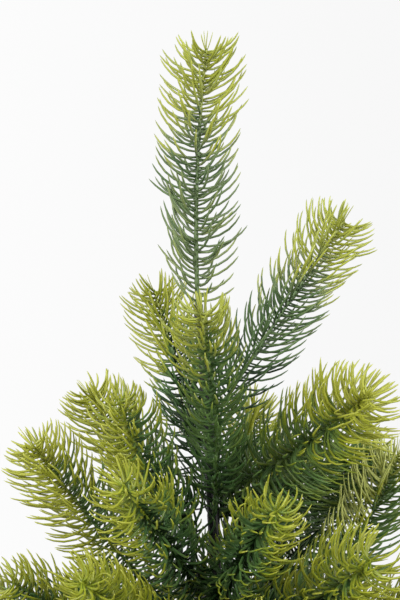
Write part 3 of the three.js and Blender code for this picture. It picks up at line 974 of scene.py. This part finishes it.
def grained(name, finish):
    """A near-black finish with a faint drift of tone and gloss and a fine moulded grain."""
    material, shader = principled(name)
    shader.inputs["Specular IOR Level"].default_value = finish.shine
    tree = material.node_tree
    place = tree.nodes.new("ShaderNodeTexCoord")
    drift = tree.nodes.new("ShaderNodeTexNoise")
    drift.inputs["Scale"].default_value = DRIFT_SCALE
    drift.inputs["Detail"].default_value = DRIFT_DETAIL
    tree.links.new(place.outputs["Object"], drift.inputs["Vector"])
    tone = tree.nodes.new("ShaderNodeMix")
    tone.data_type = "RGBA"
    tone.inputs[MIX_COLOUR_A].default_value = (*finish.dark, 1.0)
    tone.inputs[MIX_COLOUR_B].default_value = (*finish.pale, 1.0)
    tree.links.new(drift.outputs["Fac"], tone.inputs["Factor"])
    tree.links.new(tone.outputs[MIX_COLOUR_RESULT], shader.inputs["Base Color"])
    gloss = map_range(tree, drift.outputs["Fac"], (0.0, 1.0), (finish.polish, finish.rough))
    tree.links.new(gloss, shader.inputs["Roughness"])
    speckle = tree.nodes.new("ShaderNodeTexNoise")
    speckle.inputs["Scale"].default_value = finish.grain
    tree.links.new(place.outputs["Object"], speckle.inputs["Vector"])
    bump = tree.nodes.new("ShaderNodeBump")
    bump.inputs["Strength"].default_value = GRAIN_STRENGTH
    bump.inputs["Distance"].default_value = finish.depth
    tree.links.new(speckle.outputs["Fac"], bump.inputs["Height"])
    tree.links.new(bump.outputs["Normal"], shader.inputs["Normal"])
    return material


def floor_white():
    """A pale matt finish that fades out towards the floor's rim, into the white all round."""
    material, shader = principled("floor_white")
    shader.inputs["Base Color"].default_value = FLOOR_WHITE
    shader.inputs["Roughness"].default_value = FLOOR_ROUGHNESS
    tree = material.node_tree
    place = tree.nodes.new("ShaderNodeTexCoord")
    reach = tree.nodes.new("ShaderNodeVectorMath")
    reach.operation = "LENGTH"
    tree.links.new(place.outputs["Object"], reach.inputs[0])
    fade = map_range(tree, reach.outputs["Value"], (FLOOR_FADE_FROM, FLOOR_RADIUS), (1.0, 0.0), "SMOOTHSTEP")
    tree.links.new(fade, shader.inputs["Alpha"])
    return material


# Camera, light and stage

def make_camera():
    data = bpy.data.cameras.new("camera")
    data.sensor_width = SENSOR
    data.lens = FOCAL_PIXELS * SENSOR / PHOTO_HEIGHT
    data.clip_end = CAMERA_FAR
    camera = bpy.data.objects.new("camera", data)
    camera.location = Vector(CAMERA_PLACE) * MM
    camera.rotation_euler = (math.pi / 2, 0.0, 0.0)
    bpy.context.scene.collection.objects.link(camera)
    bpy.context.scene.camera = camera


def make_light(lamp):
    data = bpy.data.lights.new(lamp.name, "AREA")
    data.shape = "DISK"
    data.size = lamp.size
    data.energy = lamp.power
    light = bpy.data.objects.new(lamp.name, data)
    light.location = lamp.place
    aim = Vector(LAMP_TARGET) - Vector(lamp.place)
    light.rotation_euler = aim.to_track_quat("-Z", "Y").to_euler()
    bpy.context.scene.collection.objects.link(light)


def make_world():
    """White all round the horizon and dimmer overhead, where the lights take over."""
    world = bpy.data.worlds.new("studio")
    bpy.context.scene.world = world
    world.use_nodes = True
    tree = world.node_tree
    place = tree.nodes.new("ShaderNodeTexCoord")
    split = tree.nodes.new("ShaderNodeSeparateXYZ")
    tree.links.new(place.outputs["Generated"], split.inputs["Vector"])
    sky = map_range(tree, split.outputs["Z"], SKY_HEIGHTS, SKY_STRENGTHS, "SMOOTHSTEP")
    backdrop = map_range(tree, split.outputs["X"], BACKDROP_SIDES, BACKDROP_STRENGTHS)
    both = tree.nodes.new("ShaderNodeMath")
    both.operation = "MULTIPLY"
    tree.links.new(sky, both.inputs[0])
    tree.links.new(backdrop, both.inputs[1])
    background = tree.nodes["Background"]
    background.inputs["Color"].default_value = (1.0, 1.0, 1.0, 1.0)
    tree.links.new(both.outputs["Value"], background.inputs["Strength"])


def make_stage():
    make_world()
    bpy.ops.mesh.primitive_circle_add(vertices=FLOOR_SIDES, radius=FLOOR_RADIUS, fill_type="NGON")
    floor = bpy.context.object
    floor.name = "floor"
    floor.data.materials.append(floor_white())
    for lamp in LAMPS:
        make_light(lamp)
    bpy.context.scene.view_settings.view_transform = "Standard"


def make_crown():
    """Needles tier by tier, then the stems. Returns the heights where twigs are bound to the pole."""
    greens = needle_greens("needle_green", GREENS) + needle_greens("needle_pale_lit", PALE_AND_LIT_GREENS)
    crown = grow_crown()
    for row, (name, (twigs, nodes)) in enumerate(crown.items()):
        make_needles(name, row, twigs, nodes, greens)
    upper = [twig for name, (twigs, _) in crown.items() if name not in LOWER_TIERS for twig in twigs]
    lower = [twig for name in LOWER_TIERS for twig in crown[name][0]]
    make_stems("twigs_upper", upper, *UPPER_STEM_MESH, greens)
    make_stems("twigs_lower", lower, *LOWER_STEM_MESH, greens)
    return [twig.root[2] for twig in upper + lower[::BRANCH_TWIGS]]


def make_stand():
    plastic = grained("stand_black", STAND_FINISH)
    make_socket(plastic)
    make_legs(plastic)
    make_knob(grained("knob_black", KNOB_FINISH))


make_camera()
make_stage()
bound_heights = make_crown()
make_pole(bound_heights, grained("pole_black", POLE_FINISH))
make_stand()
